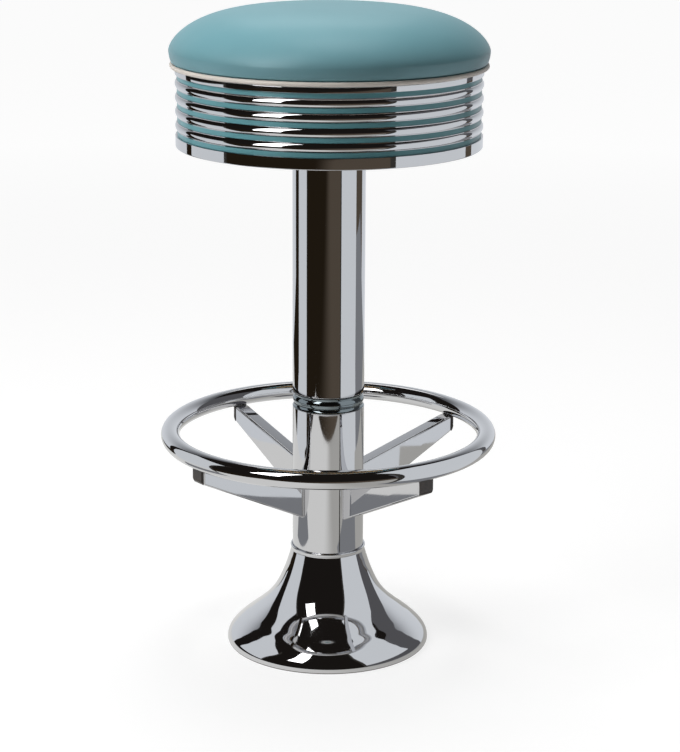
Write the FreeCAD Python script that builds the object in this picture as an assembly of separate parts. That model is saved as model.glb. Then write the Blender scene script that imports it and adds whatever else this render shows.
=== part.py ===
import FreeCAD, Part
import math
import os

from FreeCAD import Vector

# Diner counter stool, millimetres, +Z up. The origin is on the floor, on the column's axis.
# Each foot ring arm lies along an X or Y axis.

# Clearances
slip = 0.05            # between a turning shaft and its bush, radial
press = 0.02           # between a pressed piece and its bore, radial
free = 0.3             # between pieces that turn past each other
seat_gap = 0.1         # between a soft or loose piece and what it lies on

# Column tubes and the ring that joins them
column_r = 44.45       # 3 1/2 inch tube
column_wall = 2.5
lower_column_z0 = 16.0
collar_z0 = 309.0
collar_h = 18.5
collar_bead_in = 0.3   # how far the bead's crest stays inside the tubes' face
collar_neck_in = 2.2   # depth of the groove above and below the bead
collar_groove_h = 4.07
collar_groove_sag = 0.35
collar_bore_wall = 5.0
spigot_len = 28.0
column_top = 665.0

# Floor flange, a casting that the floor bolts hold down
floor_bolt_edge = 20.0   # from a bolt's centre to the flange's edge
flange_t = 10.0
flange_boss_r = 53.0
flange_spigot_len = 30.0
floor_bolt_pcd = 160.0
floor_bolt_hole_r = 6.0
rib_t = 8.0
rib_end_in = 8.0         # ribs end this far inside the flange's edge

# Tie rod through the column
tie_rod_r = 8.0
tie_hole_r = 9.0
tie_nut_flats = 24.0
tie_nut_h = 12.5
tie_washer_r = 15.0
tie_washer_t = 3.0
tie_recess_r = 17.0
tie_rod_z0 = 1.0
tie_nut_z0 = 0.5

# Bell cover, a spun trumpet; its outline is given as parts of its flare and of its height
bell_wall = 1.3
bell_gap = 0.25
bell_rim_r = 127.6
bell_height = 127.0
bell_lip_r = 1.4
bell_lip_out = 0.56      # lip past the neck's face
bell_neck_lean = 0.05    # run out per run down, at the neck and at the rim
bell_rim_lean = 0.02
bell_rim_return = 6.0
bell_shape = (
    (0.000, 0.975), (0.040, 0.870), (0.108, 0.740), (0.245, 0.551), (0.395, 0.425),
    (0.620, 0.295), (0.760, 0.222), (0.889, 0.148), (0.969, 0.087), (1.000, 0.035),
)

# Foot ring and its four arms
ring_r = 196.9
ring_tube_r = 11.5
ring_tube_wall = 1.6
ring_z = 273.5
arm_count = 4
arm_w = 19.0
arm_edge_r = 2.5
arm_root_top = 223.0
arm_root_bottom = 170.0
arm_end_in_ring = 0.9     # arm's end inside the ring's centre line
arm_end_h = 18.0
arm_nose_r = 7.0
arm_nose_len = 4.2
arm_nose_in = 0.92       # how far the nose's middle point lies in, and up
arm_nose_up = 1.4
arm_pad_len = 7.0
arm_cap_t = 3.2
arm_cap_stem_len = 12.0
arm_cap_stem_w = 9.0
arm_cap_stem_h = 8.0

# Swivel bearing, from the housing up to the seat plate
housing_r = 28.0
housing_flange_t = 6.0
housing_len = 118.0
housing_spigot_len = 22.0
bush_r = 16.0
bush_len = 30.0
bush_relief = 1.5
lower_bush_up = 22.5     # lower end of the lower bush, above the housing's lower end
end_recess_r = 20.0
cap_t = 12.0
spindle_r = 12.5
spindle_flange_r = 32.0
spindle_flange_t = 6.0
spindle_tail = 6.5       # spindle below the lower bush
spindle_pilot_h = 3.0    # spindle's end, up into the seat plate
ball_r = 4.0
ball_count = 12
ball_track_r = 23.0
race_t = 4.0
race_in_r = 16.5
race_out_r = 30.0
race_space = 4.0         # flat face to flat face of the two races
cage_t = 1.6
cage_wall = 2.2
washer_t = 2.0
washer_r = 19.0
circlip_t = 1.4
circlip_groove_depth = 1.2
circlip_r = 15.5
circlip_gap = 6.25

# Seat plate, board and their fixings
plate_w = 180.0
plate_t = 5.0
plate_corner_r = 18.0
board_r = 178.2          # the band, welt and cushion are all placed from the board's edge
board_t = 18.0
bolt_spacing = 120.0
bolt_r = 4.0
bolt_flats = 13.0
bolt_head_h = 5.3
bolt_washer_r = 8.0
bolt_washer_t = 1.6
bolt_clearance = 0.5
tee_barrel_r = 5.2
tee_barrel_len = 11.0
tee_flange_r = 11.0
tee_flange_t = 1.5
hub_screw_r = 3.0
hub_screw_head_r = 6.0
hub_screw_track_r = 22.0
hub_screw_count = 4

# Cushion
cushion_past_welt = 0.8
crown_h = 52.3
crown_side_power = 3.48
crown_top_power = 1.592
cover_t = 1.2
cushion_side_h = 14.7    # from the welt's top to the cushion's widest line
cushion_draw_in = 2.6    # how far the side draws in at the welt
cushion_bulge_in = 0.73  # how far the side's middle lies inside its widest line
cushion_low = 1.68       # side's lower end above the welt
welt_r = 2.75
welt_past_band = 6.2
tuck_w = 20.0            # cover turned in under the board
staple_count = 24
staple_w = 11.0
staple_wire = 1.0
staple_leg = 6.0

# Grooved band and its coloured strips
band_wall = 4.8
cover_room = 0.4         # between the board's edge and the cover round it
band_h = 94.0
band_drop = 59.5         # band below the board's underside
band_edge_r = 1.2
strip_count = 5
strip_pitch = 16.75
strip_h = 5.8
strip_t = 0.8
strip_floor_depth = 3.2  # groove floor below the band's face
strip_lip = 0.8
rib_edge_depth = 2.0     # edge of a rounded rib below the band's face
first_strip_rise = 16.6  # centre of the lowest strip above the band's lower edge
band_screw_count = 8
band_screw_r = 1.8
band_screw_head_r = 2.7
band_screw_head_h = 1.1
band_screw_len = 18.0
band_screw_strip = 3     # the strip, from the bottom, that hides the screws
seam_angle = 53.0
seam_w = 0.4
splice_rows = (0, 2)     # the strips that the rivets stand behind
splice_half_angle = 7.0
splice_t = 2.0
splice_h = 52.0
splice_rise = 4.0
rivet_r = 2.0
rivet_head_r = 3.6
rivet_head_h = 1.2

# Levels worked out from the sizes above
collar_z1 = collar_z0 + collar_h
column_bore_r = column_r - column_wall
spigot_r = column_bore_r - press
housing_top = column_top + housing_flange_t
race_z0 = housing_top
ball_z = race_z0 + race_t + race_space / 2
upper_race_z0 = race_z0 + race_t + race_space
flange_z0 = upper_race_z0 + race_t
plate_z0 = flange_z0 + spindle_flange_t
board_z0 = plate_z0 + plate_t
board_z1 = board_z0 + board_t
band_z0 = board_z0 - band_drop
band_z1 = band_z0 + band_h
tuck_z = band_z1 + 2 * seat_gap
welt_z = band_z1 + seat_gap + welt_r
welt_top = welt_z + welt_r
widest_z = welt_top + cushion_side_h
housing_z0 = housing_top - housing_len
lower_bush_z0 = housing_z0 + lower_bush_up
spindle_z0 = lower_bush_z0 - spindle_tail
cap_z0 = housing_z0
cap_z1 = cap_z0 + cap_t
flange_r = floor_bolt_pcd / 2 + floor_bolt_edge
rib_end_r = flange_r - rib_end_in
bell_neck_r = column_r + bell_gap + bell_wall
arm_pad_z = ring_z - ring_tube_r - seat_gap
arm_end_r = ring_r - arm_end_in_ring
arm_cap_r0 = arm_end_r - arm_cap_t
skirt_inner_r = board_r + cover_room
skirt_outer_r = skirt_inner_r + cover_t
band_inner_r = skirt_outer_r + 2 * seat_gap
band_r = band_inner_r + band_wall
welt_outer_r = band_r + welt_past_band
cushion_r = welt_outer_r + cushion_past_welt
strip_floor_r = band_r - strip_floor_depth
strip_face_r = strip_floor_r + strip_t
welt_ring_r = welt_outer_r - welt_r
cover_neck_r = welt_outer_r - 2 * welt_r - seat_gap
staple_r = board_r - tuck_w / 2
round_mid = 1 - math.sqrt(0.5)   # a rounded corner's middle, as a part of its radius

os.makedirs("parts", exist_ok=True)
UP = Vector(0, 0, 1)
ORIGIN = Vector(0, 0, 0)


def save(name, shape):
    shape.exportStep("parts/" + name + ".step")
    solids = len(shape.Solids)
    print(name, "solids", solids, "valid", shape.isValid(), "cm3", round(shape.Volume / 1000, 2))


def rod(r, z0, z1, x=0.0, y=0.0):
    return Part.makeCylinder(r, z1 - z0, Vector(x, y, z0))


def tube(r_in, r_out, z0, z1):
    return rod(r_out, z0, z1).cut(rod(r_in, z0, z1))


def hexagon(flats, z0, z1, x=0.0, y=0.0):
    corner = flats / math.sqrt(3)
    turns = [math.radians(60 * k) for k in range(7)]
    points = [Vector(x + corner * math.cos(turn), y + corner * math.sin(turn), z0) for turn in turns]
    return Part.Face(Part.makePolygon(points)).extrude(Vector(0, 0, z1 - z0))


def at(r, z):
    return Vector(r, 0, z)


def line(a, b):
    return Part.LineSegment(a, b).toShape()


def arc(a, mid, b):
    return Part.Arc(a, mid, b).toShape()


def polyline(points):
    return [line(points[k], points[k + 1]) for k in range(len(points) - 1)]


def spun(edges):
    return Part.Face(Part.Wire(edges)).revolve(ORIGIN, UP, 360)


def turned(shape, degrees):
    copy = shape.copy()
    copy.rotate(ORIGIN, UP, degrees)
    return copy


def around(shape, count, start=0.0):
    return [turned(shape, start + 360.0 * k / count) for k in range(count)]


# Floor flange: a round cast plate with a boss and a spigot that centres the lower column
def floor_flange():
    body = rod(flange_r, 0, flange_t).fuse(rod(flange_boss_r, 0, lower_column_z0))
    body = body.fuse(rod(spigot_r, 0, lower_column_z0 + flange_spigot_len))
    profile = [at(0, 0), at(rib_end_r, 0), at(rib_end_r, flange_t), at(flange_boss_r, lower_column_z0),
               at(0, lower_column_z0), at(0, 0)]
    rib = Part.Face(Part.makePolygon(profile)).extrude(Vector(0, rib_t, 0))
    rib.translate(Vector(0, -rib_t / 2, 0))
    for one in around(rib, 4):
        body = body.fuse(one)
    for one in around(rod(floor_bolt_hole_r, 0, flange_t, floor_bolt_pcd / 2), 4, 45):
        body = body.cut(one)
    recess = tie_nut_z0 + tie_nut_h + tie_washer_t
    body = body.cut(rod(tie_recess_r, 0, recess))
    return body.cut(rod(tie_hole_r, 0, lower_column_z0 + flange_spigot_len)).removeSplitter()


# Bell cover: one spun shell with a rolled lip at the neck and a turned-in rim on the floor
def bell_point(flare, rise):
    return at(bell_neck_r + flare * (bell_rim_r - bell_neck_r), rise * bell_height)


def bell_curve(wall):
    outer = Part.BSplineCurve()
    outer.interpolate([bell_point(flare, rise) for flare, rise in bell_shape],
                      InitialTangent=Vector(bell_neck_lean, 0, -1), FinalTangent=Vector(bell_rim_lean, 0, -1))
    if not wall:
        return outer
    points = []
    first, last = outer.FirstParameter, outer.LastParameter
    for k in range(len(bell_shape) * 2 - 1):
        where = first + (last - first) * k / (len(bell_shape) * 2 - 2)
        run = outer.tangent(where)[0]
        points.append(outer.value(where) + Vector(run.z, 0, -run.x) * wall)
    inner = Part.BSplineCurve()
    inner.interpolate(points)
    return inner


def bell_cover():
    outer = bell_curve(0)
    inner = bell_curve(bell_wall)
    top_out = outer.value(outer.FirstParameter)
    top_in = inner.value(inner.FirstParameter)
    rim_out = outer.value(outer.LastParameter)
    rim_in = inner.value(inner.LastParameter)
    lip_end = at(column_r + bell_gap, bell_height - bell_lip_r)
    lip_out = at(top_out.x + bell_lip_out, bell_height - bell_lip_r)
    foot_mid = at(rim_out.x - bell_wall * round_mid, rim_out.z * round_mid)
    foot_end = at(rim_out.x - bell_wall, 0)
    edges = [outer.toShape(), arc(rim_out, foot_mid, foot_end)]
    edges += polyline([foot_end, at(rim_out.x - bell_rim_return, 0), at(rim_out.x - bell_rim_return, bell_wall),
                       at(rim_in.x, bell_wall), rim_in])
    edges += [inner.toShape(), line(top_in, lip_end)]
    edges += [arc(lip_end, at((lip_end.x + top_out.x) / 2, bell_height), lip_out), line(lip_out, top_out)]
    return spun(Part.__sortEdges__(edges))


# Column: two tubes, and between them a turned ring with a bead and a spigot into each
def collar_ring():
    low_r = column_r - collar_neck_in
    crest = column_r - collar_bead_in
    groove_r = low_r + collar_groove_sag
    bead0 = collar_z0 + collar_groove_h
    bead1 = collar_z1 - collar_groove_h
    bore_r = column_bore_r - collar_bore_wall
    edges = [arc(at(low_r, bead0), at(crest, (bead0 + bead1) / 2), at(low_r, bead1))]
    edges += [arc(at(low_r, bead1), at(groove_r, (bead1 + collar_z1) / 2), at(column_r, collar_z1))]
    edges += polyline([at(column_r, collar_z1), at(spigot_r, collar_z1), at(spigot_r, collar_z1 + spigot_len),
                       at(bore_r, collar_z1 + spigot_len), at(bore_r, collar_z0 - spigot_len),
                       at(spigot_r, collar_z0 - spigot_len), at(spigot_r, collar_z0), at(column_r, collar_z0)])
    edges += [arc(at(column_r, collar_z0), at(groove_r, (bead0 + collar_z0) / 2), at(low_r, bead0))]
    return spun(edges)


# Foot ring: a closed hoop of round tube that lies on the four arm ends
def foot_ring():
    hoop = Part.makeTorus(ring_r, ring_tube_r, Vector(0, 0, ring_z), UP)
    bore = Part.makeTorus(ring_r, ring_tube_r - ring_tube_wall, Vector(0, 0, ring_z), UP)
    return hoop.cut(bore)


# Arm: a tapered chrome bracket, welded to the column at its root and to the ring above its end
def arm_bar():
    pad_start = arm_end_r - arm_pad_len
    bottom_end = arm_pad_z - arm_end_h
    inside = column_bore_r
    slope_top = (arm_pad_z - arm_root_top) / (pad_start - column_r)
    slope_bottom = (bottom_end - arm_root_bottom) / (arm_end_r - column_r)
    root_low = at(inside, arm_root_bottom + slope_bottom * (inside - column_r))
    root_high = at(inside, arm_root_top + slope_top * (inside - column_r))
    nose_low = at(arm_end_r - arm_nose_len, bottom_end - slope_bottom * arm_nose_len)
    nose_mid = at(arm_end_r - arm_nose_in, bottom_end + arm_nose_up)
    nose_high = at(arm_end_r, bottom_end + arm_nose_r)
    edges = [line(root_low, nose_low), arc(nose_low, nose_mid, nose_high)]
    edges += polyline([nose_high, at(arm_end_r, arm_pad_z), at(pad_start, arm_pad_z), root_high, root_low])
    body = Part.Face(Part.Wire(edges)).extrude(Vector(0, arm_w, 0))
    body.translate(Vector(0, -arm_w / 2, 0))
    long_edges = [e for e in body.Edges
                  if abs(abs(e.CenterOfMass.y) - arm_w / 2) < 0.01 and e.CenterOfMass.x > column_r]
    return body.makeFillet(arm_edge_r, long_edges)


def stem(grow):
    w = arm_cap_stem_w + 2 * grow
    h = arm_cap_stem_h + 2 * grow
    corner = Vector(arm_cap_r0 - arm_cap_stem_len - grow, -w / 2, arm_pad_z - (arm_end_h + h) / 2)
    return Part.makeBox(arm_cap_stem_len + grow, w, h, corner)


def end_of_arm(r):
    return Part.makeBox(ring_r, arm_w * 2, ring_z, Vector(r, -arm_w, 0))


def arm():
    body = arm_bar().cut(rod(column_r + press, 0, ring_z))
    return body.cut(end_of_arm(arm_cap_r0)).cut(stem(press))


# End cap: a dark moulded plug that closes the arm's end and carries on its outline
def arm_cap():
    return arm_bar().common(end_of_arm(arm_cap_r0)).fuse(stem(0.0)).removeSplitter()


# Tie rod, nut and washer: they pull the stack of tubes down on the flange
def tie_washer():
    z0 = tie_nut_z0 + tie_nut_h
    return tube(tie_rod_r + seat_gap, tie_washer_r, z0, z0 + tie_washer_t)


def tie_nut():
    return hexagon(tie_nut_flats, tie_nut_z0, tie_nut_z0 + tie_nut_h).cut(
        rod(tie_rod_r + press, tie_nut_z0, tie_nut_z0 + tie_nut_h))


# Bearing housing: a flanged sleeve that stands on the upper column and holds both bushes
def bearing_housing():
    body = rod(housing_r, housing_z0, housing_top).fuse(rod(column_r, column_top, housing_top))
    body = body.fuse(rod(spigot_r, column_top - housing_spigot_len, column_top))
    body = body.cut(rod(bush_r - bush_relief, housing_z0, housing_top))
    body = body.cut(rod(bush_r + press, housing_top - bush_len, housing_top))
    body = body.cut(rod(bush_r + press, housing_z0, lower_bush_z0 + bush_len))
    return body.cut(rod(end_recess_r, housing_z0, lower_bush_z0))


def housing_cap():
    body = rod(end_recess_r - press, cap_z0, cap_z1)
    return body.cut(rod(tie_rod_r + press, cap_z0, cap_z1))


def race(z0, groove_z):
    body = tube(race_in_r, race_out_r, z0, z0 + race_t)
    groove = Part.makeTorus(ball_track_r, ball_r + free, Vector(0, 0, groove_z), UP)
    return body.cut(groove)


def ball_cage():
    half = ball_r + cage_wall
    ring = tube(ball_track_r - half, ball_track_r + half, ball_z - cage_t / 2, ball_z + cage_t / 2)
    for pocket in around(rod(ball_r + seat_gap, ball_z - cage_t, ball_z + cage_t, ball_track_r), ball_count):
        ring = ring.cut(pocket)
    return ring


def bearing_balls():
    ball = Part.makeSphere(ball_r, Vector(ball_track_r, 0, ball_z))
    return Part.makeCompound(around(ball, ball_count))


# Spindle: a turned shaft with a flange that the seat plate is screwed to
def circlip_z0():
    return lower_bush_z0 - free - washer_t - seat_gap - circlip_t


def spindle():
    body = rod(spindle_r, spindle_z0, plate_z0 + spindle_pilot_h)
    body = body.fuse(rod(spindle_flange_r, flange_z0, plate_z0))
    z0 = circlip_z0()
    groove = tube(spindle_r - circlip_groove_depth, bush_r, z0 - seat_gap, z0 + circlip_t + seat_gap)
    body = body.cut(groove)
    for one in around(rod(hub_screw_r + seat_gap, flange_z0, plate_z0, hub_screw_track_r), hub_screw_count, 45):
        body = body.cut(one)
    return body


def circlip():
    z0 = circlip_z0()
    clip = tube(spindle_r - circlip_groove_depth + press, circlip_r, z0, z0 + circlip_t)
    gap = Part.makeBox(bush_r, circlip_gap, circlip_t, Vector(0, -circlip_gap / 2, z0))
    return clip.cut(gap)


def thrust_washer():
    top = lower_bush_z0 - free
    return tube(spindle_r + seat_gap, washer_r, top - washer_t, top)


# Seat plate, its screws and the bolts into the board
def square_places(spacing):
    half = spacing / 2
    return [(half, half), (-half, half), (-half, -half), (half, -half)]


def seat_plate():
    half = plate_w / 2
    body = Part.makeBox(plate_w, plate_w, plate_t, Vector(-half, -half, plate_z0))
    upright = [e for e in body.Edges if abs(e.tangentAt(e.FirstParameter).z) > 0.9]
    body = body.makeFillet(plate_corner_r, upright)
    body = body.cut(rod(spindle_r + seat_gap, plate_z0, board_z0))
    for x, y in square_places(bolt_spacing):
        body = body.cut(rod(bolt_r + bolt_clearance, plate_z0, board_z0, x, y))
    sink = hub_screw(seat_gap)
    for one in around(sink, hub_screw_count, 45):
        body = body.cut(one)
    return body


def hub_screw(grow):
    top = plate_z0 + plate_t
    head_h = hub_screw_head_r - hub_screw_r
    foot = Vector(hub_screw_track_r, 0, top - head_h)
    cone = Part.makeCone(hub_screw_r + grow, hub_screw_head_r + grow, head_h, foot)
    return rod(hub_screw_r + grow, flange_z0 + seat_gap, top - head_h, hub_screw_track_r).fuse(cone)


def seat_bolts():
    head_z0 = plate_z0 - bolt_washer_t - bolt_head_h
    tip = board_z1 - tee_flange_t
    bolts = []
    for x, y in square_places(bolt_spacing):
        bolt = hexagon(bolt_flats, head_z0, head_z0 + bolt_head_h, x, y)
        bolts.append(bolt.fuse(rod(bolt_r, head_z0, tip, x, y)))
    return Part.makeCompound(bolts)


def bolt_washers():
    z0 = plate_z0 - bolt_washer_t
    one = []
    for x, y in square_places(bolt_spacing):
        one.append(rod(bolt_washer_r, z0, plate_z0, x, y).cut(rod(bolt_r + seat_gap, z0, plate_z0, x, y)))
    return Part.makeCompound(one)


def tee_nut(x, y, grow, bored):
    z1 = board_z1
    body = rod(tee_barrel_r + grow, z1 - tee_barrel_len, z1, x, y)
    body = body.fuse(rod(tee_flange_r + grow, z1 - tee_flange_t, z1, x, y))
    if bored:
        body = body.cut(rod(bolt_r + press, z1 - tee_barrel_len, z1, x, y))
    return body


def tee_nuts():
    return Part.makeCompound([tee_nut(x, y, 0.0, True) for x, y in square_places(bolt_spacing)])


# Cover staples: flat crowns against the turned-in cover, legs in the board
def staple(grow):
    wire = staple_wire + 2 * grow
    z0 = board_z0 - cover_t - seat_gap - staple_wire - grow
    crown = Part.makeBox(wire, staple_w + 2 * grow, wire, Vector(staple_r - wire / 2, -staple_w / 2 - grow, z0))
    body = crown
    leg_top = board_z0 + staple_leg + grow
    for side in (-1, 1):
        y = side * (staple_w - staple_wire) / 2
        body = body.fuse(Part.makeBox(wire, wire, leg_top - z0, Vector(staple_r - wire / 2, y - wire / 2, z0)))
    return body


def staple_places(grow):
    return around(staple(grow), staple_count, 360.0 / staple_count / 2)


# Band screws stand behind one strip, with their heads sunk in its groove
def strip_z(index):
    return band_z0 + first_strip_rise + strip_pitch * index


def band_screw(grow):
    z = strip_z(band_screw_strip)
    out = Vector(1, 0, 0)
    tip = strip_floor_r - band_screw_len
    shank = Part.makeCylinder(band_screw_r + grow, strip_floor_r - tip - seat_gap, Vector(tip, 0, z), out)
    head = Part.makeCylinder(band_screw_head_r + grow, band_screw_head_h + grow,
                             Vector(strip_floor_r - seat_gap * 2 - band_screw_head_h, 0, z), out)
    return shank.fuse(head)


def band_screw_places(grow):
    return around(band_screw(grow), band_screw_count, seam_angle + 180.0 / band_screw_count)


# Seat board: round plywood, bored for the tee nuts, staples and band screws
def seat_board():
    body = rod(board_r, board_z0, board_z1)
    for x, y in square_places(bolt_spacing):
        body = body.cut(tee_nut(x, y, seat_gap, False))
        body = body.cut(rod(bolt_r + bolt_clearance, board_z0, board_z1, x, y))
    for one in staple_places(seat_gap) + band_screw_places(seat_gap):
        body = body.cut(one)
    return body


# Cushion outline: a flat-topped dome over a side that draws in above the welt
def crown(turn, inset):
    angle = math.radians(turn)
    return at((cushion_r - inset) * math.cos(angle) ** (2 / crown_side_power),
              widest_z + (crown_h - inset) * math.sin(angle) ** (2 / crown_top_power))


def crown_top(inset):
    return at(0, widest_z + crown_h - inset)


def crown_arcs(inset):
    turns = (0, 16, 32, 48, 64, 80)
    edges = []
    for k in range(len(turns) - 1):
        middle = crown((turns[k] + turns[k + 1]) / 2, inset)
        edges.append(arc(crown(turns[k], inset), middle, crown(turns[k + 1], inset)))
    shoulder = crown(turns[-1], inset)
    top = crown_top(inset)
    rise = top.z - shoulder.z
    cap_r = (shoulder.x ** 2 + rise ** 2) / (2 * rise)
    half = shoulder.x / 2
    edges.append(arc(shoulder, at(half, top.z - cap_r + math.sqrt(cap_r ** 2 - half ** 2)), top))
    return edges


def side_arc(inset):
    low = at(cushion_r - cushion_draw_in - inset, welt_top + cushion_low + inset / 2)
    middle = at(cushion_r - cushion_bulge_in - inset, (low.z + widest_z) / 2)
    return arc(low, middle, crown(0, inset)), low


def seat_cover():
    side, low = side_arc(0)
    side_in, low_in = side_arc(cover_t)
    tuck_in = board_r - tuck_w
    under = board_z0 - seat_gap
    edges = crown_arcs(0) + [side]
    edges += polyline([low, at(cover_neck_r, welt_top + seat_gap), at(cover_neck_r, tuck_z),
                       at(skirt_outer_r, tuck_z), at(skirt_outer_r, under - cover_t), at(tuck_in, under - cover_t), at(tuck_in, under),
                       at(skirt_inner_r, under), at(skirt_inner_r, tuck_z + cover_t),
                       at(cover_neck_r - cover_t, tuck_z + cover_t),
                       at(cover_neck_r - cover_t, welt_top + seat_gap + cover_t), low_in])
    edges += [side_in] + crown_arcs(cover_t)
    edges += [line(crown_top(cover_t), crown_top(0))]
    body = spun(Part.__sortEdges__(edges))
    for one in staple_places(seat_gap) + band_screw_places(seat_gap):
        body = body.cut(one)
    return body


def foam_pad():
    inset = cover_t + seat_gap
    side, low = side_arc(inset)
    foam_r = board_r - seat_gap
    neck_r = cover_neck_r - inset
    base = board_z1 + seat_gap
    edges = crown_arcs(inset) + [side]
    edges += polyline([low, at(neck_r, welt_top + inset), at(neck_r, tuck_z + inset),
                       at(foam_r - cover_t, tuck_z + inset), at(foam_r - cover_t, base), at(0, base),
                       crown_top(inset)])
    return spun(Part.__sortEdges__(edges))


def welt():
    return Part.makeTorus(welt_ring_r, welt_r, Vector(0, 0, welt_z), UP)


# Grooved band: a bent extrusion with a groove for each strip and a rounded rib between strips
def grooved_band():
    half = strip_h / 2
    edge_r = band_r - rib_edge_depth
    round_in = band_edge_r * round_mid
    edges = [line(at(band_inner_r, band_z0), at(band_r - band_edge_r, band_z0)),
             arc(at(band_r - band_edge_r, band_z0), at(band_r - round_in, band_z0 + round_in),
                 at(band_r, band_z0 + band_edge_r))]
    last = at(band_r, band_z0 + band_edge_r)
    for k in range(strip_count):
        z = strip_z(k)
        if k == 0:
            edges.append(line(last, at(band_r, z - half - seat_gap)))
            start = at(band_r, z - half - seat_gap)
        else:
            below = strip_z(k - 1) + half + seat_gap
            above = z - half - seat_gap
            rib0 = at(edge_r, below + strip_lip)
            rib1 = at(edge_r, above - strip_lip)
            edges += polyline([last, at(edge_r, below), rib0])
            edges.append(arc(rib0, at(band_r, (below + above) / 2), rib1))
            edges.append(line(rib1, at(edge_r, above)))
            start = at(edge_r, above)
        last = at(strip_floor_r, z + half + seat_gap)
        edges += polyline([start, at(strip_floor_r, z - half - seat_gap), last])
    edges += polyline([last, at(band_r, last.z), at(band_r, band_z1 - band_edge_r)])
    edges += [arc(at(band_r, band_z1 - band_edge_r), at(band_r - round_in, band_z1 - round_in),
                  at(band_r - band_edge_r, band_z1))]
    edges += polyline([at(band_r - band_edge_r, band_z1), at(band_inner_r, band_z1), at(band_inner_r, band_z0)])
    body = spun(edges)
    seam = Part.makeBox(band_r, seam_w, band_h, Vector(0, -seam_w / 2, band_z0))
    body = body.cut(turned(seam, seam_angle))
    for one in band_screw_places(seat_gap):
        body = body.cut(one)
    for one in rivet_places(seat_gap):
        body = body.cut(one)
    return body


def groove_strip(index):
    z = strip_z(index)
    body = tube(strip_floor_r + seat_gap / 2, strip_face_r, z - strip_h / 2, z + strip_h / 2)
    seam = Part.makeBox(band_r, seam_w, strip_h, Vector(0, -seam_w / 2, z - strip_h / 2))
    return body.cut(turned(seam, seam_angle))


# Splice plate: it joins the band's two ends from inside, below the board
def band_splice():
    z0 = band_z0 + splice_rise
    outer = band_inner_r - seat_gap / 2
    plate = Part.makeCylinder(outer, splice_h, Vector(0, 0, z0), UP, 2 * splice_half_angle)
    plate = plate.cut(rod(outer - splice_t, z0, z0 + splice_h))
    plate = turned(plate, seam_angle - splice_half_angle)
    for one in rivet_places(seat_gap):
        plate = plate.cut(one)
    return plate


def rivet(grow, degrees, z):
    out = Vector(1, 0, 0)
    inside = band_inner_r - seat_gap / 2 - splice_t
    shank = Part.makeCylinder(rivet_r + grow, strip_floor_r - seat_gap - inside, Vector(inside, 0, z), out)
    head = Part.makeCylinder(rivet_head_r, rivet_head_h, Vector(inside - rivet_head_h, 0, z), out)
    return turned(shank.fuse(head), degrees)


def rivet_places(grow):
    places = []
    for side in (-0.5, 0.5):
        for row in splice_rows:
            places.append(rivet(grow, seam_angle + side * splice_half_angle, strip_z(row)))
    return places


def arm_nodes():
    one = arm()
    cap = arm_cap()
    for k in range(arm_count):
        save("arm_" + str(k + 1), turned(one, 360.0 * k / arm_count))
        save("arm_cap_" + str(k + 1), turned(cap, 360.0 * k / arm_count))


def strip_nodes():
    for k in range(strip_count):
        save("groove_strip_" + str(k + 1), groove_strip(k))


save("floor_flange", floor_flange())
save("bell_cover", bell_cover())
save("lower_column", tube(column_bore_r, column_r, lower_column_z0, collar_z0))
save("collar_ring", collar_ring())
save("upper_column", tube(column_bore_r, column_r, collar_z1, column_top))
arm_nodes()
save("foot_ring", foot_ring())
save("tie_rod", rod(tie_rod_r, tie_rod_z0, cap_z1))
save("tie_nut", tie_nut())
save("tie_washer", tie_washer())
save("bearing_housing", bearing_housing())
save("housing_cap", housing_cap())
save("upper_bush", tube(spindle_r + slip, bush_r, housing_top - bush_len, housing_top))
save("lower_bush", tube(spindle_r + slip, bush_r, lower_bush_z0, lower_bush_z0 + bush_len))
save("lower_race", race(race_z0, ball_z))
save("upper_race", race(upper_race_z0, ball_z))
save("ball_cage", ball_cage())
save("bearing_balls", bearing_balls())
save("spindle", spindle())
save("circlip", circlip())
save("thrust_washer", thrust_washer())
save("seat_plate", seat_plate())
save("hub_screws", Part.makeCompound(around(hub_screw(0.0), hub_screw_count, 45)))
save("seat_bolts", seat_bolts())
save("bolt_washers", bolt_washers())
save("tee_nuts", tee_nuts())
save("seat_board", seat_board())
save("foam_pad", foam_pad())
save("seat_cover", seat_cover())
save("cover_staples", Part.makeCompound(staple_places(0.0)))
save("welt", welt())
save("grooved_band", grooved_band())
strip_nodes()
save("band_screws", Part.makeCompound(band_screw_places(0.0)))
save("band_splice", band_splice())
save("splice_rivets", Part.makeCompound(rivet_places(0.0)))
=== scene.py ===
import math
import bpy
from mathutils import Matrix, Vector


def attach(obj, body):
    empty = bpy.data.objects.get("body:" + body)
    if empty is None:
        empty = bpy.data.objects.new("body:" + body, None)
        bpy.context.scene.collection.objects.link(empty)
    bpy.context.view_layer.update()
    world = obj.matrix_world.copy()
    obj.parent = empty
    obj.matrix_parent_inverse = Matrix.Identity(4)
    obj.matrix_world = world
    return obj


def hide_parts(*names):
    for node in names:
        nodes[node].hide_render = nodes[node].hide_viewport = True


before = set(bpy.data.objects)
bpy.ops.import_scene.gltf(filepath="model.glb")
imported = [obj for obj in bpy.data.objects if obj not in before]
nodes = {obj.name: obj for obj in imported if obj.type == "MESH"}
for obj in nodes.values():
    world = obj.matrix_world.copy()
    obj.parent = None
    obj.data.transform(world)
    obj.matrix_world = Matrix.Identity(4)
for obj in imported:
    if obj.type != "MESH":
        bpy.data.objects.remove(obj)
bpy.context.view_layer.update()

# Floor flange: a black painted iron casting, bolted to the floor and hidden by the bell.
# Sand leaves its skin pebbled, and the paint pools in the hollows.
mm = 0.001


def linear(colour):
    """An sRGB hex colour as linear RGBA."""
    parts = [int(colour[k:k + 2], 16) / 255 for k in (0, 2, 4)]
    return tuple(c / 12.92 if c <= 0.04045 else ((c + 0.055) / 1.055) ** 2.4 for c in parts) + (1.0,)


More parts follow.
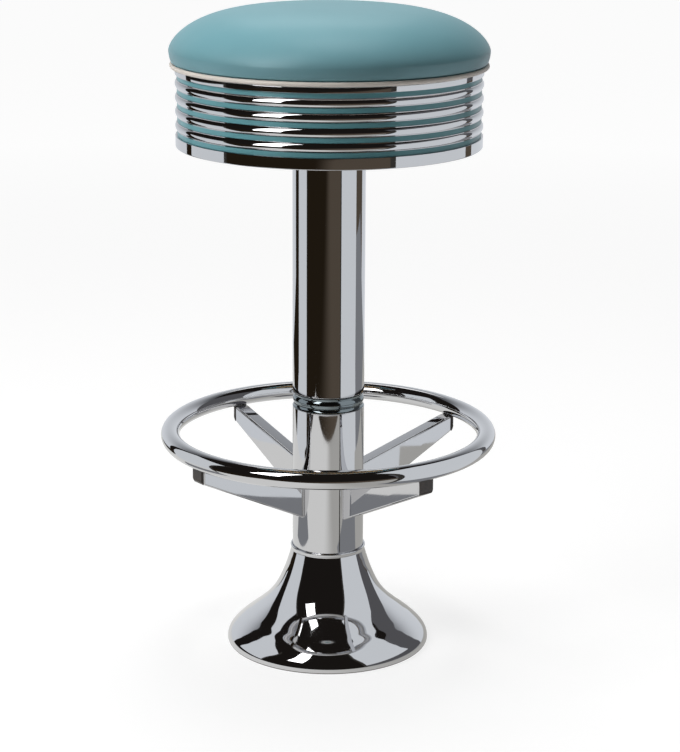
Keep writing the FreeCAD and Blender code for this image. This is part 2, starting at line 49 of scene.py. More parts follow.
def add_node(finish, kind, settings, links=()):
    """One shader node: settings are attributes or sockets, links are (socket, source socket)."""
    node = finish.node_tree.nodes.new(kind)
    for name, value in settings.items():
        if isinstance(name, str) and hasattr(node, name) and name not in node.inputs:
            setattr(node, name, value)
        else:
            node.inputs[name].default_value = value
    for socket, source in links:
        finish.node_tree.links.new(source, node.inputs[socket])
    return node


def new_finish(name, colour, metallic, roughness):
    """A finish with its shader, whose base colour, metallic and roughness are typical of the material."""
    finish = bpy.data.materials.new(name)
    finish.use_nodes = True
    shader = finish.node_tree.nodes["Principled BSDF"]
    shader.inputs["Base Color"].default_value = linear(colour)
    shader.inputs["Metallic"].default_value = metallic
    shader.inputs["Roughness"].default_value = roughness
    place = add_node(finish, "ShaderNodeTexCoord", {})
    return finish, shader, place.outputs["Object"]


def grain(finish, shader, place, size_mm, depth_mm, detail=3.0):
    """Bump from noise whose grains are size_mm across."""
    noise = add_node(finish, "ShaderNodeTexNoise", {"Scale": 1 / (size_mm * mm), "Detail": detail},
                     [("Vector", place)])
    bump = add_node(finish, "ShaderNodeBump", {"Distance": depth_mm * mm, "Strength": 1.0},
                    [("Height", noise.outputs["Fac"])])
    finish.node_tree.links.new(bump.outputs["Normal"], shader.inputs["Normal"])
    return noise


def shade_by_noise(finish, shader, place, size_mm, low, high, detail=4.0):
    """Base colour that drifts between two sRGB colours in patches of size_mm."""
    noise = add_node(finish, "ShaderNodeTexNoise", {"Scale": 1 / (size_mm * mm), "Detail": detail},
                     [("Vector", place)])
    mix = add_node(finish, "ShaderNodeMix", {"data_type": "RGBA", 6: linear(low), 7: linear(high)},
                   [(0, noise.outputs["Fac"])])
    finish.node_tree.links.new(mix.outputs[2], shader.inputs["Base Color"])


def roughness_by_noise(finish, shader, place, size_mm, low, high):
    """Roughness that drifts between low and high in patches of size_mm, as polishing leaves it."""
    noise = add_node(finish, "ShaderNodeTexNoise", {"Scale": 1 / (size_mm * mm), "Detail": 5.0},
                     [("Vector", place)])
    span = add_node(finish, "ShaderNodeMapRange",
                    {"From Min": 0.3, "From Max": 0.7, "To Min": low, "To Max": high},
                    [("Value", noise.outputs["Fac"])])
    finish.node_tree.links.new(span.outputs["Result"], shader.inputs["Roughness"])


def dress(name, finish):
    """Gives a CAD node a finish."""
    node = nodes[name]
    node.data.materials.clear()
    node.data.materials.append(finish)


painted_iron, shader, place = new_finish("painted_cast_iron", "1B1B1C", 0.0, 0.55)
grain(painted_iron, shader, place, 1.6, 0.25)
shade_by_noise(painted_iron, shader, place, 25, "151516", "26262A")
dress("floor_flange", painted_iron)

# Tie rod, nut and washer: zinc plated steel. They pull the stack of tubes down on the flange.
zinc, shader, place = new_finish("zinc_plated_steel", "A9ABAA", 1.0, 0.35)
grain(zinc, shader, place, 0.6, 0.02)
shade_by_noise(zinc, shader, place, 6, "9A9D9C", "BDBDB6")
for name in ("tie_rod", "tie_nut", "tie_washer"):
    dress(name, zinc)

# Lower column: 3 1/2 inch steel tube, polished and chrome plated, with a broken edge at each end.
# Bright chrome is nearly colourless, and only faint polishing haze blurs what it mirrors.
chrome, shader, place = new_finish("bright_chrome_plate", "DADADC", 1.0, 0.03)
roughness_by_noise(chrome, shader, place, 40, 0.025, 0.05)

column_r = 44.45
column_wall = 2.5
lower_column_z0 = 16.0
collar_z0 = 309.0
tube_edge = 0.8
tube_joint = 0.3
merge_distance = 0.002


def arc_points(a, through, b, count):
    """Points on the arc from a through a middle point to b, both ends included."""
    (ax, ay), (mx, my), (bx, by) = a, through, b
    d = 2 * (ax * (my - by) + mx * (by - ay) + bx * (ay - my))
    sa, sm, sb = ax * ax + ay * ay, mx * mx + my * my, bx * bx + by * by
    cx = (sa * (my - by) + sm * (by - ay) + sb * (ay - my)) / d
    cy = (sa * (bx - mx) + sm * (ax - bx) + sb * (mx - ax)) / d
    radius = math.hypot(ax - cx, ay - cy)
    start = math.atan2(ay - cy, ax - cx)
    middle = (math.atan2(my - cy, mx - cx) - start) % math.tau
    whole = (math.atan2(by - cy, bx - cx) - start) % math.tau
    if middle > whole:
        whole -= math.tau
    turns = [start + whole * k / count for k in range(count + 1)]
    return [(cx + radius * math.cos(angle), cy + radius * math.sin(angle)) for angle in turns]


def rounded(outline, radius, count=3):
    """A closed outline with every corner rounded by radius, or by a third of its shorter side."""
    points = []
    for k, corner in enumerate(outline):
        corner = Vector(corner)
        before = Vector(outline[k - 1]) - corner
        after = Vector(outline[(k + 1) % len(outline)]) - corner
        reach = min(radius, before.length / 3, after.length / 3)
        a = corner + before.normalized() * reach
        b = corner + after.normalized() * reach
        for step in range(count + 1):
            t = step / count
            points.append(tuple(a.lerp(corner, t).lerp(corner.lerp(b, t), t)))
    return points


def draw_outline(name, outline, closed=True):
    """A new object in edit mode, whose edges run through the outline's (radius, height) points in mm."""
    bpy.ops.object.select_all(action="DESELECT")
    bpy.ops.mesh.primitive_plane_add(size=mm, location=(0, 0, 0))
    piece = bpy.context.object
    piece.name = name
    piece.data.name = name
    bpy.ops.object.mode_set(mode="EDIT")
    bpy.ops.mesh.merge(type="CENTER")
    places = [Vector((r * mm, 0, z * mm)) for r, z in outline]
    if closed:
        places.append(places[0])
    bpy.ops.transform.translate(value=places[0])
    for k in range(1, len(places)):
        bpy.ops.mesh.extrude_vertices_move(TRANSFORM_OT_translate={"value": places[k] - places[k - 1]})
    bpy.ops.mesh.select_all(action="SELECT")
    return piece


def turn(name, outline, steps=192, start=0.0, gap=0.0, smooth=30):
    """A turned piece: the closed outline spun about the column's axis, with an open gap of some degrees."""
    piece = draw_outline(name, outline)
    if start:
        bpy.ops.transform.rotate(value=-math.radians(start), orient_axis="Z", center_override=(0, 0, 0))
    bpy.ops.mesh.spin(steps=steps, angle=math.radians(360 - gap), center=(0, 0, 0), axis=(0, 0, 1))
    bpy.ops.mesh.select_all(action="SELECT")
    bpy.ops.mesh.remove_doubles(threshold=merge_distance * mm)
    if gap:
        bpy.ops.mesh.fill_holes(sides=0)
        bpy.ops.mesh.select_all(action="SELECT")
    bpy.ops.mesh.normals_make_consistent(inside=False)
    bpy.ops.object.mode_set(mode="OBJECT")
    true_faces(piece, smooth)
    return piece


def true_faces(piece, smooth):
    """Smooth shading in which long straight faces keep their own direction up to a rounded edge."""
    bpy.ops.object.shade_smooth_by_angle(angle=math.radians(smooth))
    weighted = piece.modifiers.new("true_faces", "WEIGHTED_NORMAL")
    weighted.mode = "FACE_AREA"
    weighted.weight = 100
    weighted.keep_sharp = True
    bpy.ops.object.modifier_apply(modifier=weighted.name)


def place_on(piece, body, finish, slot, *replaced):
    """Gives a piece its finish, puts it on its body and hides the CAD nodes it stands for; slot is not used.
    """
    piece.data.materials.clear()
    piece.data.materials.append(finish)
    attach(piece, body)
    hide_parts(*replaced)


def column_outline(z0, z1):
    """The column tube's wall from z0 to z1, with broken edges."""
    inner_r = column_r - column_wall
    return rounded([(inner_r, z0), (column_r, z0), (column_r, z1), (inner_r, z1)], tube_edge)


lower_tube = turn("lower_column_tube", column_outline(lower_column_z0, collar_z0 - tube_joint))
place_on(lower_tube, "pedestal", chrome, "chrome_plate", "lower_column")

# Bell cover: spun from one steel disc, chrome plated. It slips down round the column.
# Its neck ends in a small rolled lip, and its rim stands upright on the floor and turns in.
bell_height = 127.0
bell_neck_r = 46.0
bell_rim_r = 127.6
bell_wall = 1.3
bell_return_r = bell_rim_r - 6.0
bell_return_t = 1.2
# Shares of the way out from neck to rim, and of the height.
bell_curve = [(0.000, 0.960), (0.040, 0.870), (0.108, 0.740), (0.245, 0.551), (0.395, 0.425), (0.620, 0.295),
              (0.760, 0.224), (0.880, 0.156), (0.955, 0.103), (0.990, 0.062), (1.000, 0.028)]


def smooth_curve(points, count):
    """A smooth line through the points, count steps between each pair."""
    line = []
    ends = [points[0]] + list(points) + [points[-1]]
    for k in range(1, len(ends) - 2):
        p0, p1, p2, p3 = (Vector(p) for p in ends[k - 1:k + 3])
        t01 = max((p1 - p0).length, 1e-6) ** 0.5
        t12 = (p2 - p1).length ** 0.5
        t23 = max((p3 - p2).length, 1e-6) ** 0.5
        m1 = (p2 - p1) + ((p1 - p0) / t01 - (p2 - p0) / (t01 + t12)) * t12
        m2 = (p2 - p1) + ((p3 - p2) / t23 - (p3 - p1) / (t12 + t23)) * t12
        if k == 1:
            m1 = (p2 - p1)
        if k == len(ends) - 3:
            m2 = (p2 - p1)
        for step in range(count):
            t = step / count
            line.append(tuple(p1 * (2 * t ** 3 - 3 * t ** 2 + 1) + m1 * (t ** 3 - 2 * t ** 2 + t)
                              + p2 * (3 * t ** 2 - 2 * t ** 3) + m2 * (t ** 3 - t ** 2)))
    line.append(tuple(points[-1]))
    return line


def offset_line(line, distance):
    """The same line moved to its right by distance, seen along its run."""
    moved = []
    for k, point in enumerate(line):
        run = (Vector(line[min(k + 1, len(line) - 1)]) - Vector(line[max(k - 1, 0)])).normalized()
        moved.append((point[0] + run.y * distance, point[1] - run.x * distance))
    return moved


bell_outside = smooth_curve([(bell_neck_r + flare * (bell_rim_r - bell_neck_r), rise * bell_height)
                             for flare, rise in bell_curve], 8)
bell_inside = offset_line(bell_outside, bell_wall)
lip_inner = (column_r + 0.2, bell_height - 1.6)
lip_crest = (column_r + 1.5, bell_height)
lip_outer = (bell_neck_r + 1.1, bell_height - 1.7)
lip_root = (bell_neck_r + 0.7, bell_height - 3.2)
lip = arc_points(lip_inner, lip_crest, lip_outer, 8)
lip_under = arc_points(lip_outer, lip_root, bell_outside[0], 5)
foot = arc_points(bell_outside[-1], (bell_rim_r - 0.4, 1.4), (bell_rim_r - 1.6, 0.0), 5)
turned_in = [(bell_return_r, 0.0), (bell_return_r, bell_return_t), (bell_rim_r - 2.0, bell_return_t)]
bell_outline = lip + lip_under[1:] + bell_outside[1:] + foot[1:] + turned_in + bell_inside[::-1]
bell = turn("bell_cover_spun", bell_outline, steps=256, smooth=40)
place_on(bell, "pedestal", chrome, "chrome_plate", "bell_cover")

# Foot ring arms: four tapered brackets, chrome plated, welded to the lower column at their roots.
# Their long edges are softly rounded, and the outer end is an upright nose under the ring.
ring_r = 196.9
ring_tube_r = 11.5
ring_z = 273.5
arm_w = 19.0
arm_root_r = 43.3
arm_root_top = 223.0
arm_root_bottom = 170.0
seat_gap = 0.1
arm_end_r = ring_r - 0.9
arm_end_h = 18.0
arm_nose_r = 7.0
arm_pad = 7.0
arm_edge = 2.2
arm_cap_t = 3.2
pad_z = ring_z - ring_tube_r - seat_gap
nose_low = pad_z - arm_end_h


def flat_bar(name, outline, width, edge):
    """A bar cut to the outline, width thick about the XZ plane, with all long edges rounded."""
    piece = draw_outline(name, outline)
    bpy.ops.mesh.remove_doubles(threshold=merge_distance * mm)
    bpy.ops.mesh.edge_face_add()
    bpy.ops.transform.translate(value=(0, -width / 2 * mm, 0))
    bpy.ops.mesh.extrude_region_move(TRANSFORM_OT_translate={"value": (0, width * mm, 0)})
    bpy.ops.mesh.select_all(action="SELECT")
    bpy.ops.mesh.normals_make_consistent(inside=False)
    bpy.ops.object.mode_set(mode="OBJECT")
    bevel = piece.modifiers.new("rounded_edges", "BEVEL")
    bevel.width = edge * mm
    bevel.segments = 4
    bevel.limit_method = "ANGLE"
    bevel.angle_limit = math.radians(50)
    bevel.harden_normals = False
    bpy.ops.object.modifier_apply(modifier=bevel.name)
    true_faces(piece, 60)
    return piece


def turned_copy(piece, name, degrees):
    """A copy with its own mesh, turned about the column's axis in its mesh."""
    copy = piece.copy()
    copy.data = piece.data.copy()
    copy.name = name
    copy.data.name = name
    bpy.context.scene.collection.objects.link(copy)
    copy.data.transform(Matrix.Rotation(math.radians(degrees), 4, "Z"))
    return copy


cap_r = arm_end_r - arm_cap_t
slope = (nose_low - arm_root_bottom) / (arm_end_r - column_r)
bar_end_r = cap_r - seat_gap
bar_end_low = nose_low - slope * arm_cap_t
arm_outline = [(arm_root_r, arm_root_bottom), (bar_end_r, bar_end_low), (bar_end_r, pad_z),
               (arm_end_r - arm_pad, pad_z), (arm_root_r, arm_root_top)]
arm = flat_bar("arm_bracket_1", arm_outline, arm_w, arm_edge)
arms = [arm] + [turned_copy(arm, "arm_bracket_" + str(k + 1), 90 * k) for k in (1, 2, 3)]
for k, piece in enumerate(arms):
    place_on(piece, "pedestal", chrome, "chrome_plate", "arm_" + str(k + 1))

# Arm end caps: dark brown plugs, pressed in the arms' ends, with a rounded lower corner.
# Their dark brown is a painted reflection of the dark room floor that the arms' chrome ends mirror; it drifts
# in small patches and keeps a soft sheen.
cap_painted_reflection, shader, place = new_finish("dark_brown_painted_reflection", "352B24", 0.0, 0.3)
shade_by_noise(cap_painted_reflection, shader, place, 4, "2C231D", "43372E")
grain(cap_painted_reflection, shader, place, 0.7, 0.04)
cap_top = pad_z - seat_gap
cap_side_in = 0.4
cap_edge = 0.9
nose_start = 0.98
nose = arc_points((arm_end_r - arm_cap_t * nose_start, nose_low - slope * arm_cap_t * nose_start),
                  (arm_end_r - 0.5, nose_low + 2.2), (arm_end_r, nose_low + arm_nose_r), 8)
cap_outline = [(cap_r, bar_end_low + 0.3)] + nose + [(arm_end_r, cap_top), (cap_r, cap_top)]
cap = flat_bar("arm_end_cap_1", cap_outline, arm_w - cap_side_in, cap_edge)
caps = [cap] + [turned_copy(cap, "arm_end_cap_" + str(k + 1), 90 * k) for k in (1, 2, 3)]
for k, piece in enumerate(caps):
    place_on(piece, "pedestal", cap_painted_reflection, "dark_plastic", "arm_cap_" + str(k + 1))

# Foot ring: round steel tube bent to a hoop, its ends welded and dressed, then chrome plated.
# It lies on the arms' pads and is welded to them.


def round_section(middle_r, middle_z, r, count):
    """A round bar's section about its own middle."""
    turns = [math.tau * k / count for k in range(count)]
    return [(middle_r + r * math.cos(angle), middle_z + r * math.sin(angle)) for angle in turns]


hoop = turn("foot_ring_hoop", round_section(ring_r, ring_z, ring_tube_r, 40), steps=288, smooth=60)
place_on(hoop, "pedestal", chrome, "chrome_plate", "foot_ring")

# Collar ring: a turned steel ring between the tubes, with one bead and a groove each side of it.
# It is plated too, and its plate colour is darker than the tubes' all over: a painted shade that stands in
# for the darker reflections on it.
collar_h = 18.5
collar_top = collar_z0 + collar_h
shaded_collar_chrome, shader, place = new_finish("collar_chrome_painted_shade", "868F93", 1.0, 0.1)
roughness_by_noise(shaded_collar_chrome, shader, place, 30, 0.06, 0.12)
groove_share = 0.22
groove_r = column_r - 2.2
groove_mid_r = groove_r + 0.35
bead_r = column_r - 0.3
collar_inner_r = column_r - 5
bead_low = collar_z0 + collar_h * groove_share
bead_high = collar_top - collar_h * groove_share
low_groove = arc_points((column_r, collar_z0), (groove_mid_r, (collar_z0 + bead_low) / 2),
                        (groove_r, bead_low), 6)
bead = arc_points((groove_r, bead_low), (bead_r, (bead_low + bead_high) / 2), (groove_r, bead_high), 16)
high_groove = arc_points((groove_r, bead_high), (groove_mid_r, (bead_high + collar_top) / 2),
                         (column_r, collar_top), 6)
collar_outline = (low_groove + bead[1:] + high_groove[1:]
                  + [(collar_inner_r, collar_top), (collar_inner_r, collar_z0)])
collar = turn("collar_beaded_ring", collar_outline)
place_on(collar, "pedestal", shaded_collar_chrome, "collar_chrome", "collar_ring")

# Upper column: the same polished and chrome plated tube, cut square with a broken edge at each end.
# It stands on the collar and carries the bearing housing.
column_top = 665.0
upper_tube = turn("upper_column_tube", column_outline(collar_top + tube_joint, column_top))
place_on(upper_tube, "pedestal", chrome, "chrome_plate", "upper_column")

# Bearing housing, its cap and the seat plate: turned or cut steel, chemically blacked.
# The housing stands in the top of the upper column, and the plate carries the seat board.
black_oxide, shader, place = new_finish("black_oxide_steel", "232425", 0.6, 0.42)
grain(black_oxide, shader, place, 0.8, 0.02)
for name in ("bearing_housing", "housing_cap", "seat_plate"):
    dress(name, black_oxide)

# Bushes and ball cage: bearing bronze, turned and left bright.
# The bushes are pressed into the housing, and the cage spaces the balls of the thrust bearing.
bronze, shader, place = new_finish("bearing_bronze", "B98D4F", 1.0, 0.32)
shade_by_noise(bronze, shader, place, 5, "A87C42", "C79B5C")
for name in ("upper_bush", "lower_bush", "ball_cage"):
    dress(name, bronze)

# Spindle, races, balls, bolts, staples and screws: ground or zinc plated steel.
# Most of them are hidden in the column or under the board.
for name in ("lower_race", "upper_race", "bearing_balls", "spindle", "circlip", "thrust_washer",
             "hub_screws", "seat_bolts", "bolt_washers", "tee_nuts", "cover_staples", "band_screws"):
    dress(name, zinc)

# Seat board: a disc of birch plywood, bolted to the seat plate.
# Its face veneer's grain runs one way.
plywood, shader, place = new_finish("birch_plywood", "C6A374", 0.0, 0.6)
stretch = add_node(plywood, "ShaderNodeMapping", {"Scale": (1.0, 9.0, 1.0)}, [("Vector", place)])
veins = add_node(plywood, "ShaderNodeTexNoise", {"Scale": 45.0, "Detail": 6.0, "Distortion": 0.6},
                 [("Vector", stretch.outputs["Vector"])])
wood = add_node(plywood, "ShaderNodeMix", {"data_type": "RGBA", 6: linear("B48C5C"), 7: linear("D9BB8D")},
                [(0, veins.outputs["Fac"])])
plywood.node_tree.links.new(wood.outputs[2], shader.inputs["Base Color"])
dress("seat_board", plywood)

# Foam pad: cut from one block of open cell foam, glued on the board under the cover.
# Cut foam is matt, with small open pores.
foam, shader, place = new_finish("open_cell_foam", "E6D9A8", 0.0, 0.95)
grain(foam, shader, place, 1.2, 0.4)
dress("foam_pad", foam)

# Cushion cover: turquoise upholstery vinyl, pulled tight over the foam and stapled under the board.
# Calendered vinyl has a fine pebble, a soft even gloss and no weave.
vinyl, shader, place = new_finish("turquoise_upholstery_vinyl", "6F9EA7", 0.0, 0.38)
shade_by_noise(vinyl, shader, place, 70, "6B9BA4", "74A2AB", detail=2.0)
grain(vinyl, shader, place, 0.9, 0.05)
cushion_r = 191.8
side_low_in = 2.6
side_mid_in = 0.73
side_low_up = 1.7
crown_h = 52.3
side_power = 3.48
top_power = 1.592
band_top = 728.5
welt_r = 2.75
welt_outer_r = 191.0
welt_z = band_top + 0.1 + welt_r
welt_top = welt_z + welt_r
widest_z = welt_top + 14.7
cover_t = 1.2
board_z = 694.0
board_r = 178.2


def crown_line(inset, count):
    """The dome from its widest line to the middle, flat on top and full at the shoulder."""
    line = []
    for k in range(count + 1):
        angle = math.pi / 2 * k / count
        line.append(((cushion_r - inset) * max(math.cos(angle), 0.0) ** (2 / side_power),
                     widest_z + (crown_h - inset) * math.sin(angle) ** (2 / top_power)))
    line[-1] = (0.0, line[-1][1])
    return line


def side_line(inset):
    """The side's full curve from the welt up to the widest line."""
    low = (cushion_r - side_low_in - inset, welt_top + side_low_up + inset * 0.4)
    middle = (cushion_r - side_mid_in - inset, (low[1] + widest_z) / 2)
    return arc_points(low, middle, (cushion_r - inset, widest_z), 8)


neck_r = welt_outer_r - 2 * welt_r - seat_gap
skirt_r = 179.8
skirt_in_r = skirt_r - cover_t
hem_r = board_r - 20
tuck_z = band_top + 0.2
under = board_z - seat_gap
cover_outline = (side_line(0) + crown_line(0, 64)[1:]
                 + crown_line(cover_t, 32)[::-1] + side_line(cover_t)[::-1][1:]
                 + [(neck_r - cover_t, welt_top + 1.3), (neck_r - cover_t, tuck_z + cover_t),
                    (skirt_in_r, tuck_z + cover_t), (skirt_in_r, under), (hem_r, under),
                    (hem_r, under - cover_t), (skirt_r, under - cover_t), (skirt_r, tuck_z),
                    (neck_r, tuck_z), (neck_r, welt_top + seat_gap)])
cover = turn("cushion_cover", cover_outline, steps=256, smooth=45)
place_on(cover, "seat", vinyl, "turquoise_vinyl", "seat_cover")

# Welt: a cord wrapped in cream vinyl, sewn into the cover's edge all round.
# It lies on the band's top edge, with the same soft gloss as the cover.
cream, shader, place = new_finish("cream_piping_vinyl", "E9E0D6", 0.0, 0.45)
grain(cream, shader, place, 0.8, 0.05)
welt = turn("welt_piping", round_section(welt_outer_r - welt_r, welt_z, welt_r, 20), steps=256, smooth=60)
place_on(welt, "seat", cream, "cream_piping", "welt")

# Grooved band: an extruded strip, rolled to a hoop and plated, with its two ends meeting at the back.
# Rounded ribs stand between the grooves, and a narrow lip edges each groove.
band_r = 184.8
band_in_r = 180.0
band_z0 = 634.5
strip_pitch = 16.75
strip_h = 5.8
strip_t = 0.8
strip_room = 0.1
strip_floor = band_r - 3.2
strip_lip = 0.8
rib_edge_r = band_r - 2.0
rib_corner = 0.15
band_edge = 1.2
band_edge_mid = 0.35
first_strip = band_z0 + 16.6
strip_count = 5
seam_angle = 53.0
seam_gap = 0.12
seam_end = seam_angle + seam_gap / 2


def strip_level(k):
    """The middle height of a strip, counted from the lowest."""
    return first_strip + strip_pitch * k


half = strip_h / 2 + strip_room
band_outline = [(band_in_r, band_z0)]
band_outline += arc_points((band_r - band_edge, band_z0), (band_r - band_edge_mid, band_z0 + band_edge_mid),
                           (band_r, band_z0 + band_edge), 4)
for k in range(strip_count):
    z = strip_level(k)
    if k:
        low = strip_level(k - 1) + half
        high = z - half
        band_outline += [(rib_edge_r - rib_corner, low), (rib_edge_r, low + rib_corner)]
        band_outline += arc_points((rib_edge_r, low + strip_lip), (band_r, (low + high) / 2),
                                   (rib_edge_r, high - strip_lip), 20)
        band_outline += [(rib_edge_r, high - rib_corner), (rib_edge_r - rib_corner, high)]
    else:
        band_outline += [(band_r, z - half - 0.3), (band_r - 0.3, z - half)]
    band_outline += [(strip_floor, z - half), (strip_floor, z + half)]
last = strip_level(strip_count - 1) + half
band_outline += [(band_r - 0.7, last), (band_r - 0.2, last + 0.2), (band_r, last + 0.7)]
band_outline += arc_points((band_r, band_top - band_edge), (band_r - band_edge_mid, band_top - band_edge_mid),
                           (band_r - band_edge, band_top), 4)
band_outline += [(band_in_r, band_top)]
band = turn("grooved_seat_band", band_outline, steps=288, start=seam_end, gap=seam_gap, smooth=28)
place_on(band, "seat", chrome, "bright_band", "grooved_band")

# Groove strips: five flat strips of turquoise vinyl, laid in the band's grooves.
# They are glossier than the cover, and their long edges are rounded.
strip_finish, shader, place = new_finish("turquoise_strip_vinyl", "66A0A8", 0.0, 0.28)
grain(strip_finish, shader, place, 0.8, 0.03)
strip_back = strip_floor + 0.05
strip_face = strip_floor + strip_t
strip_edge_in = 0.3
strip_edge_up = 0.4
for k in range(strip_count):
    z = strip_level(k)
    low = z - strip_h / 2
    high = z + strip_h / 2
    section = [(strip_back, low), (strip_face - strip_edge_in, low), (strip_face, low + strip_edge_up),
               (strip_face, high - strip_edge_up), (strip_face - strip_edge_in, high), (strip_back, high)]
    strip = turn("groove_strip_band_" + str(k + 1), section, steps=256, start=seam_end, gap=seam_gap)
    place_on(strip, "seat", strip_finish, "turquoise_strip", "groove_strip_" + str(k + 1))

# Splice plate and rivets: mill finish aluminium, as it left the rolls.
# The plate lies across the band's joint on the inside.
mill, shader, place = new_finish("mill_finish_aluminium", "B5B6B8", 1.0, 0.4)
grain(mill, shader, place, 0.5, 0.02)
for name in ("band_splice", "splice_rivets"):
    dress(name, mill)

# Stage, for mirrors only: a paper sweep, two white cards, lamp faces and a dim room round the stool.
# Their light and dark bands give the chrome its look. Places are in metres, in the camera's own frame,
# which is turned from the model's Y axis so that it looks past the arms.
view_turn = -37.0
turned_view = Matrix.Rotation(math.radians(view_turn), 4, "Z")


def emitter(name, colour, strength):
    """A surface that gives its own even light."""
    finish = bpy.data.materials.new(name)
    finish.use_nodes = True
    finish.node_tree.nodes.clear()
    glow = add_node(finish, "ShaderNodeEmission", {"Color": linear(colour), "Strength": strength})
    add_node(finish, "ShaderNodeOutputMaterial", {}, [("Surface", glow.outputs["Emission"])])
    return finish


def mirrored_sheet(name, corners, finish):
    """A flat sheet with four corners that only mirrors show."""
    bpy.ops.object.select_all(action="DESELECT")
    bpy.ops.mesh.primitive_plane_add(size=1)
    piece = bpy.context.object
    piece.name = name
    for vertex, corner in zip(piece.data.vertices, corners):
        vertex.co = turned_view @ Vector(corner)
    piece.data.materials.append(finish)
    piece.visible_camera = False
    piece.visible_diffuse = False
    piece.visible_transmission = False
    piece.visible_shadow = False
    piece.visible_volume_scatter = False


def card(name, a, b, z0, z1, finish):
    """An upright card from a to b on the floor plan."""
    (ax, ay), (bx, by) = a, b
    mirrored_sheet(name, [(ax, ay, z0), (bx, by, z0), (ax, ay, z1), (bx, by, z1)], finish)


def flat_card(name, x0, x1, y0, y1, z, finish):
    """A card that lies level."""
    mirrored_sheet(name, [(x0, y0, z), (x1, y0, z), (x0, y1, z), (x1, y1, z)], finish)


def fading_emitter(name, axis, start, end, first, last):
    """Light that fades from the first colour to the last between two places along one axis."""
    finish = emitter(name, first, 1.0)
    glow = finish.node_tree.nodes["Emission"]
    place = add_node(finish, "ShaderNodeTexCoord", {})
    turned = add_node(finish, "ShaderNodeVectorRotate",
                      {"rotation_type": "Z_AXIS", "Angle": math.radians(-view_turn)},
                      [("Vector", place.outputs["Object"])])
    parts = add_node(finish, "ShaderNodeSeparateXYZ", {}, [("Vector", turned.outputs["Vector"])])
    along = add_node(finish, "ShaderNodeMapRange",
                     {"From Min": start, "From Max": end, "interpolation_type": "SMOOTHSTEP"},
                     [("Value", parts.outputs[axis])])
    mix = add_node(finish, "ShaderNodeMix", {"data_type": "RGBA", 6: linear(first), 7: linear(last)},
                   [(0, along.outputs["Result"])])
    finish.node_tree.links.new(mix.outputs[2], glow.inputs["Color"])
    return finish


# The paper's glow darkens towards the right, a painted shade, and the sweep's glow darkens towards the top.
paper = fading_emitter("white_paper", "X", -0.12, 0.16, "E4E4E2", "B4B3AF")
sweep = fading_emitter("paper_sweep", "Z", 0.3, 2.0, "DDE1E6", "5C5E62")
board = emitter("white_card", "DCE0E4", 1.0)
edge = emitter("card_edge_shadow", "3A3835", 1.0)
shade = emitter("shaded_paper", "84868A", 1.0)
dark = emitter("dark_room", "1C1917", 1.0)
grey = emitter("grey_room_wall", "5A5A5D", 1.0)
brown = fading_emitter("dark_room_floor", "X", -0.7, 0.35, "241D14", "564D43")
bright = emitter("softbox_face", "FFFFFF", 4.0)
window = emitter("back_softbox_face", "FFFFFF", 1.3)

# Low sheets overlap, so each kind lies on its own level.
room_level = 0.001
paper_level = 0.002
shade_level = 0.003
flat_card("paper_on_floor", -0.80, 0.85, -0.93, 1.3, paper_level, paper)
flat_card("paper_shade_left", -0.58, -0.39, -0.2, 0.16, shade_level, shade)
flat_card("paper_shade_right", 0.20, 0.60, -0.36, 0.05, shade_level, shade)
flat_card("paper_left_wing", -1.25, -0.80, -0.15, 0.45, paper_level, sweep)
flat_card("paper_right_wing", 0.85, 1.35, -0.55, 0.12, paper_level, sweep)
flat_card("grey_floor_right", 0.85, 2.6, 0.12, 1.3, paper_level, shade)
card("paper_behind", (-1.7, 1.3), (1.7, 1.3), 0.0, 2.1, sweep)
card("card_left", (-0.573, -0.19), (-0.536, 0.156), 0.09, 0.66, board)
card("card_left_edge", (-0.575, -0.215), (-0.573, -0.19), 0.0, 0.75, edge)
card("card_right", (0.235, -0.30), (0.31, 0.0), 0.09, 0.75, board)
card("card_right_edge", (0.226, -0.322), (0.235, -0.30), 0.0, 0.75, edge)
card("softbox_face", (-0.617, -0.509), (-0.406, -0.689), 0.67, 2.3, bright)
card("back_softbox_face", (-0.45, 1.25), (0.30, 1.25), 1.45, 2.1, window)

room_half = 4
room_height = 4.6
left_front = (-room_half, -room_half)
left_back = (-room_half, room_half)
right_front = (room_half, -room_half)
right_back = (room_half, room_half)
flat_card("room_floor", -room_half, room_half, -room_half, room_half, room_level, brown)
for name, a, b, wall in (("room_front", left_front, right_front, dark),
                         ("room_back", left_back, right_back, grey),
                         ("room_left", left_front, left_back, dark),
                         ("room_right", right_front, right_back, grey)):
    card(name, a, b, 0.0, room_height, wall)
flat_card("room_ceiling", -room_half, room_half, -room_half, room_half, room_height, dark)

# Floor: wide, plain and white to the eye, with the soft shadow of the stool.
# It bounces light as white paper does, and its own glow grows outwards as the lamps' light fades.
floor_paint = 0.8
floor_paint_seen = 0.35
glow_near = 0.75
glow_far = 0.90


def seen_by_eye(surface):
    """1 for camera, glossy and transmission rays, and 0 for the rest."""
    rays = add_node(surface, "ShaderNodeLightPath", {})
    direct = add_node(surface, "ShaderNodeMath", {"operation": "MAXIMUM"},
                      [(0, rays.outputs["Is Camera Ray"]), (1, rays.outputs["Is Glossy Ray"])])
    either = add_node(surface, "ShaderNodeMath", {"operation": "MAXIMUM"},
                      [(0, direct.outputs[0]), (1, rays.outputs["Is Transmission Ray"])])
    return either.outputs[0]


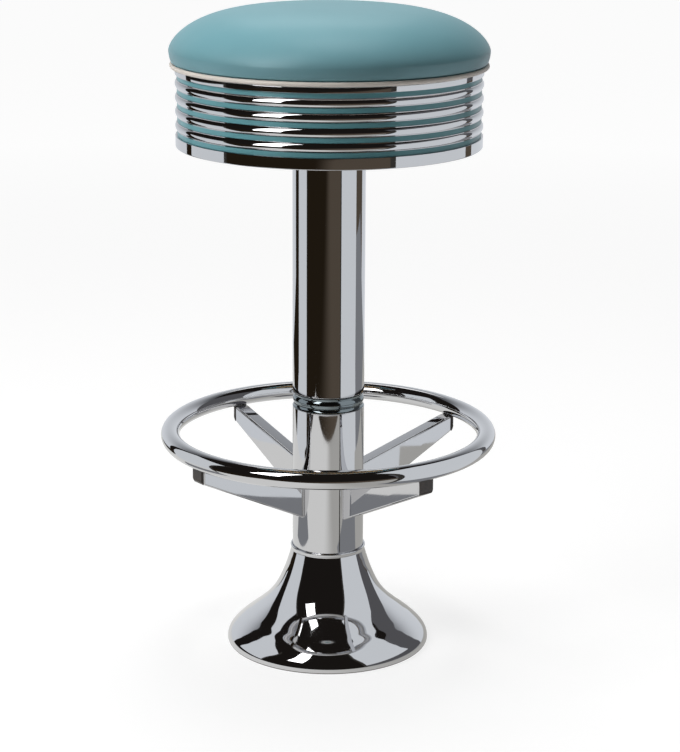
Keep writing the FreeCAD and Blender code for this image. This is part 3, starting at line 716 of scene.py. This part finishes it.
bpy.ops.object.select_all(action="DESELECT")
bpy.ops.mesh.primitive_plane_add(size=30)
floor = bpy.context.object
floor.name = "studio_floor"
floor.visible_glossy = False
white_floor = bpy.data.materials.new("white_floor")
white_floor.use_nodes = True
white_floor.node_tree.nodes.clear()
seen = seen_by_eye(white_floor)
place = add_node(white_floor, "ShaderNodeTexCoord", {})
reach = add_node(white_floor, "ShaderNodeVectorMath", {"operation": "LENGTH"}, [(0, place.outputs["Object"])])
white = add_node(white_floor, "ShaderNodeMapRange",
                 {"From Min": 0.8, "From Max": 4.0, "To Min": glow_near, "To Max": glow_far},
                 [("Value", reach.outputs["Value"])])
level = add_node(white_floor, "ShaderNodeMath", {"operation": "MULTIPLY"},
                 [(0, seen), (1, white.outputs["Result"])])
glow = add_node(white_floor, "ShaderNodeEmission", {"Color": (1, 1, 1, 1)}, [("Strength", level.outputs[0])])
paint = add_node(white_floor, "ShaderNodeMix",
                 {"data_type": "RGBA", 6: (floor_paint,) * 3 + (1,), 7: (floor_paint_seen,) * 3 + (1,)},
                 [(0, seen)])
lit = add_node(white_floor, "ShaderNodeBsdfDiffuse", {}, [("Color", paint.outputs[2])])
both = add_node(white_floor, "ShaderNodeAddShader", {}, [(0, lit.outputs[0]), (1, glow.outputs[0])])
add_node(white_floor, "ShaderNodeOutputMaterial", {}, [("Surface", both.outputs[0])])
floor.data.materials.append(white_floor)

# World: plain dim light from all round, for fill.
# It shows white behind the stool and in mirrors and glass.
fill_light = 0.18
world = bpy.data.worlds.new("studio_world")
bpy.context.scene.world = world
world.use_nodes = True
world.node_tree.nodes.clear()
strength = add_node(world, "ShaderNodeMapRange", {"To Min": fill_light, "To Max": 1.0},
                    [("Value", seen_by_eye(world))])
sky = add_node(world, "ShaderNodeBackground", {"Color": (1, 1, 1, 1)}, [("Strength", strength.outputs[0])])
add_node(world, "ShaderNodeOutputWorld", {}, [("Surface", sky.outputs[0])])

# Lamps: two soft square boxes, one at the left of the camera and one overhead, a little behind.
# Mirrors don't show them, because the stage's bright faces stand in for them there.
lamp_distance_left = 2.0
lamp_distance_top = 1.8
lamp_side = 0.9
lamp_aim_z = 0.65


def lamp(name, azimuth, elevation, distance, power):
    """A soft square lamp, placed by its direction from the seat as the camera sees it."""
    a = math.radians(azimuth)
    e = math.radians(elevation)
    aim = Vector((0, 0, lamp_aim_z))
    place = Vector((math.sin(a) * math.cos(e), -math.cos(a) * math.cos(e), math.sin(e))) * distance
    place = turned_view.to_3x3() @ place + aim
    bpy.ops.object.light_add(type="AREA", location=place)
    light = bpy.context.object
    light.name = name
    light.data.size = lamp_side
    light.data.energy = power
    light.visible_glossy = False
    light.rotation_euler = (aim - place).to_track_quat("-Z", "Y").to_euler()


lamp("left_softbox", -66, 34, lamp_distance_left, 24)
lamp("overhead_softbox", 170, 78, lamp_distance_top, 25)

# Camera: a long lens, aimed a little down, at the photograph's viewing angle.
camera_down = 15.287
camera_roll = 0.29
camera_place = turned_view @ Vector((0.01436, -2.5767, 1.0496))
bpy.ops.object.camera_add(location=camera_place)
camera = bpy.context.object
camera.name = "photo_camera"
camera.matrix_world = (Matrix.Translation(camera_place) @ turned_view
                       @ Matrix.Rotation(math.radians(90 - camera_down), 4, "X")
                       @ Matrix.Rotation(math.radians(camera_roll), 4, "Z"))
camera.data.sensor_width = 36
camera.data.lens = 103.06
bpy.context.scene.camera = camera
bpy.context.scene.view_settings.view_transform = "Standard"
